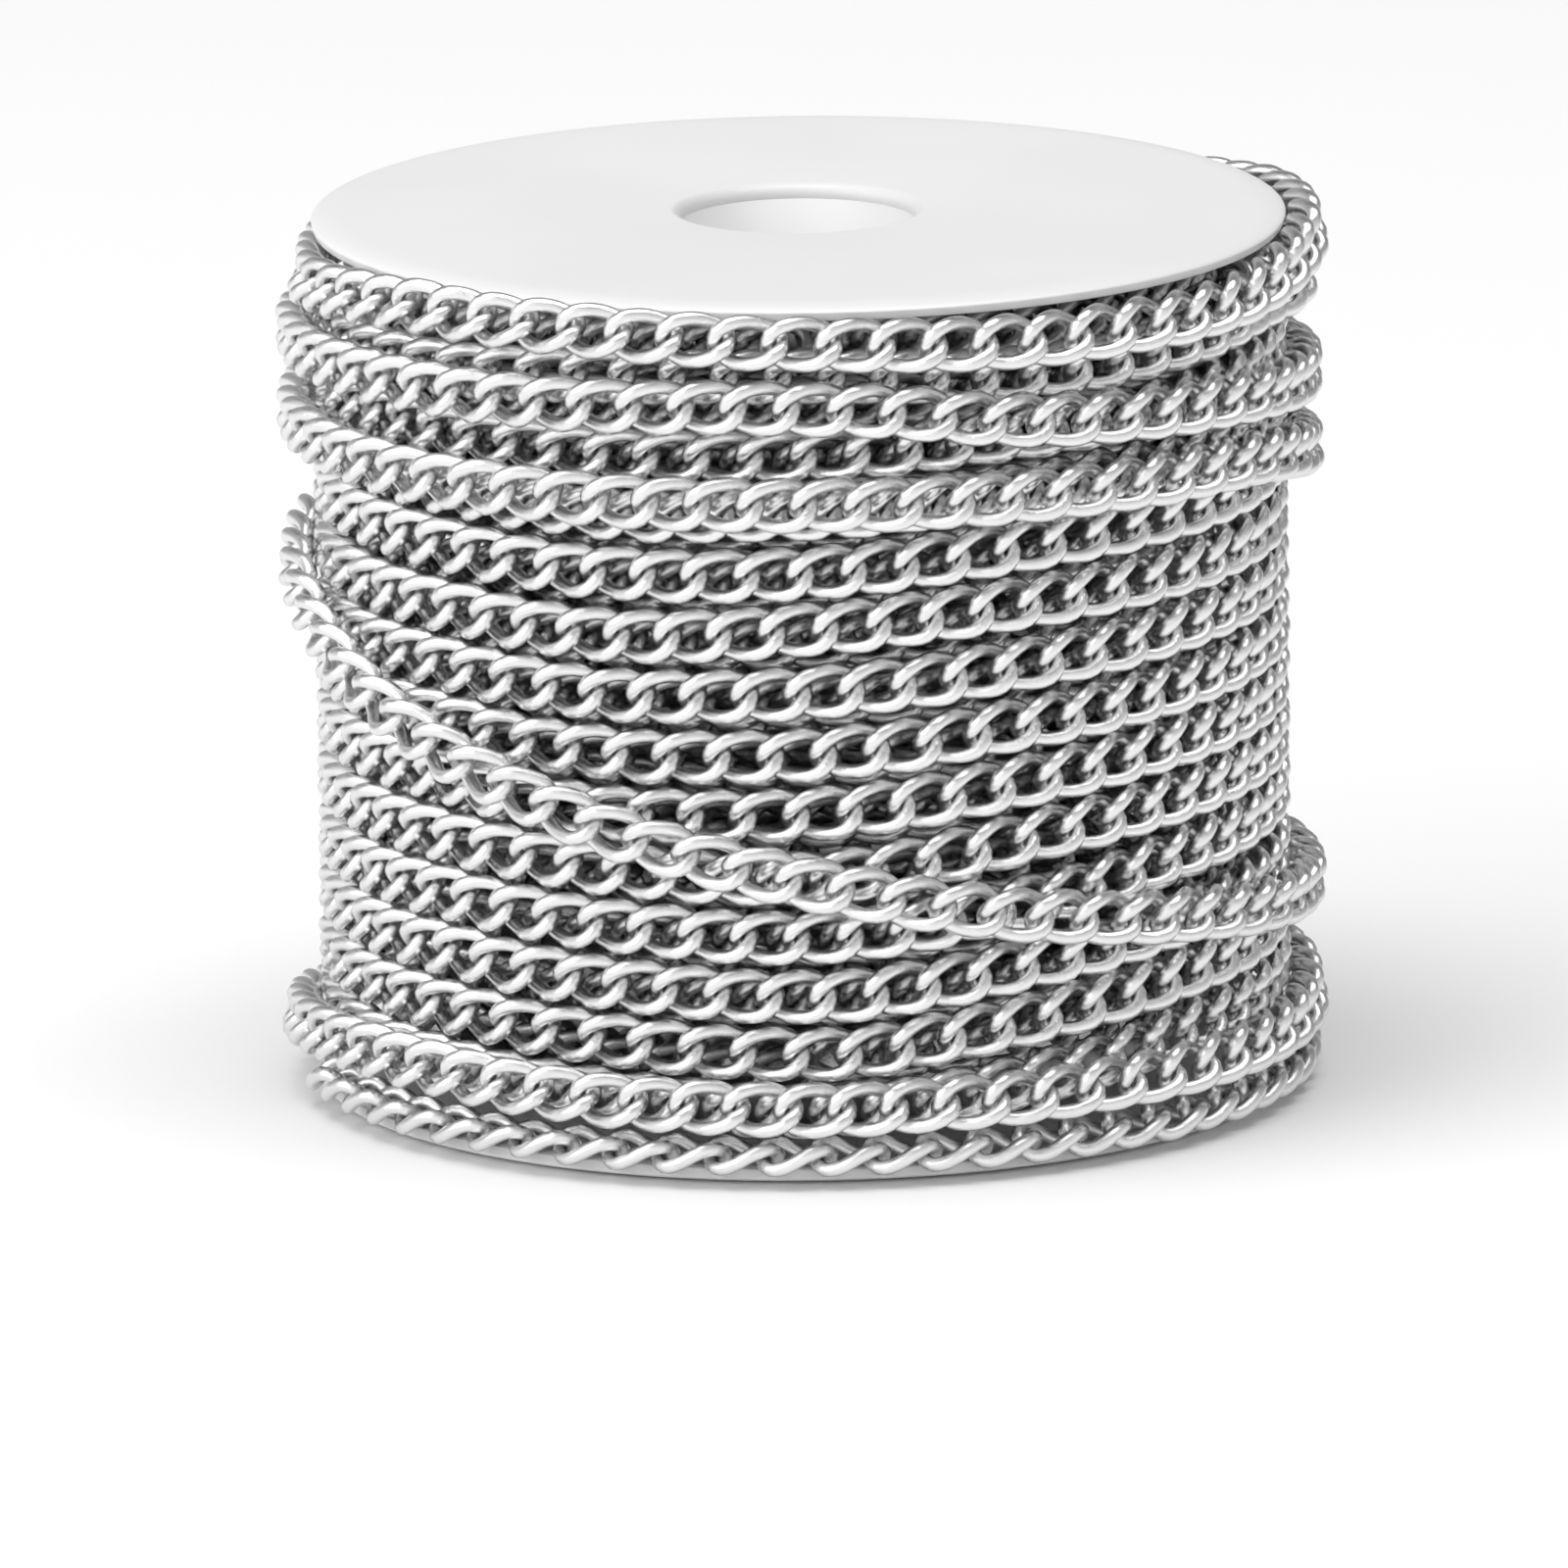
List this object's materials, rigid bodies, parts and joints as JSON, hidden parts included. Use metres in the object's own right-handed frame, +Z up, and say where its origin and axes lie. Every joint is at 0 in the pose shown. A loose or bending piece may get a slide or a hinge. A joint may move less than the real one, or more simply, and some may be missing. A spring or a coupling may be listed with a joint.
{
  "type": "spool of curb chain",
  "caption": "Plastic flanged spool wound with twisted-link curb chain, the free end lying on the winding as separate hinged links.",
  "frame": {"origin": "on the spool's axis, in the plane that the lower flange stands on", "axes": "+Z up along the spool's axis, -Y towards the front, where the strand crosses the winding diagonally, +X to the right"},
  "size_m": [0.0752, 0.0749, 0.0637],
  "materials": {
    "white_plastic": "moulded white plastic, soft gloss",
    "polished_steel": "polished bright steel wire"
  },
  "bodies": {
    "wound_spool": {"upper_flange": "white_plastic", "lower_flange": "white_plastic", "barrel": "white_plastic", "hub_tube": "white_plastic", "inner_layers": "polished_steel", "second_layer": "polished_steel", "wound_turn_01": "polished_steel", "wound_turn_02": "polished_steel", "wound_turn_03": "polished_steel", "wound_turn_04": "polished_steel", "wound_turn_05": "polished_steel", "wound_turn_06": "polished_steel", "wound_turn_07": "polished_steel", "wound_turn_08": "polished_steel", "wound_turn_09": "polished_steel", "wound_turn_10": "polished_steel", "wound_turn_11": "polished_steel", "wound_turn_12": "polished_steel", "wound_turn_13": "polished_steel", "wound_turn_14": "polished_steel", "wound_turn_15": "polished_steel", "wound_turn_16": "polished_steel", "wound_turn_17": "polished_steel", "wound_turn_18": "polished_steel", "crossing_turn": "polished_steel"},
    "link_01": {"link_01": "polished_steel"},
    "link_02": {"link_02": "polished_steel"},
    "link_03": {"link_03": "polished_steel"},
    "link_04": {"link_04": "polished_steel"},
    "link_05": {"link_05": "polished_steel"},
    "link_06": {"link_06": "polished_steel"},
    "link_07": {"link_07": "polished_steel"},
    "link_08": {"link_08": "polished_steel"},
    "link_09": {"link_09": "polished_steel"},
    "link_10": {"link_10": "polished_steel"},
    "link_11": {"link_11": "polished_steel"},
    "link_12": {"link_12": "polished_steel"}
  },
  "joints": [
    {"name": "hinge_01", "type": "hinge", "parent": "wound_spool", "child": "link_01", "pos_m": [0.03585, 0.00504, 0.0142], "axis": [0, 0, -1], "range_deg": [0, 30]},
    {"name": "hinge_02", "type": "hinge", "parent": "link_01", "child": "link_02", "pos_m": [0.03513, 0.00872, 0.0142], "axis": [0, 0, -1], "range_deg": [0, 30]},
    {"name": "hinge_03", "type": "hinge", "parent": "link_02", "child": "link_03", "pos_m": [0.03404, 0.01231, 0.0142], "axis": [0, 0, -1], "range_deg": [0, 30]},
    {"name": "hinge_04", "type": "hinge", "parent": "link_03", "child": "link_04", "pos_m": [0.03259, 0.01576, 0.0142], "axis": [0, 0, -1], "range_deg": [0, 30]},
    {"name": "hinge_05", "type": "hinge", "parent": "link_04", "child": "link_05", "pos_m": [0.03078, 0.01905, 0.0142], "axis": [0, 0, -1], "range_deg": [0, 30]},
    {"name": "hinge_06", "type": "hinge", "parent": "link_05", "child": "link_06", "pos_m": [0.02865, 0.02213, 0.0142], "axis": [0, 0, -1], "range_deg": [0, 30]},
    {"name": "hinge_07", "type": "hinge", "parent": "link_06", "child": "link_07", "pos_m": [0.0262, 0.02498, 0.0142], "axis": [0, 0, -1], "range_deg": [0, 30]},
    {"name": "hinge_08", "type": "hinge", "parent": "link_07", "child": "link_08", "pos_m": [0.02348, 0.02755, 0.0142], "axis": [0, 0, -1], "range_deg": [0, 30]},
    {"name": "hinge_09", "type": "hinge", "parent": "link_08", "child": "link_09", "pos_m": [0.0205, 0.02984, 0.0142], "axis": [0, 0, -1], "range_deg": [0, 30]},
    {"name": "hinge_10", "type": "hinge", "parent": "link_09", "child": "link_10", "pos_m": [0.01731, 0.0318, 0.0142], "axis": [0, 0, -1], "range_deg": [0, 30]},
    {"name": "hinge_11", "type": "hinge", "parent": "link_10", "child": "link_11", "pos_m": [0.01392, 0.03342, 0.0142], "axis": [0, 0, -1], "range_deg": [0, 30]},
    {"name": "hinge_12", "type": "hinge", "parent": "link_11", "child": "link_12", "pos_m": [0.01039, 0.03468, 0.0142], "axis": [0, 0, -1], "range_deg": [0, 30]}
  ]
}
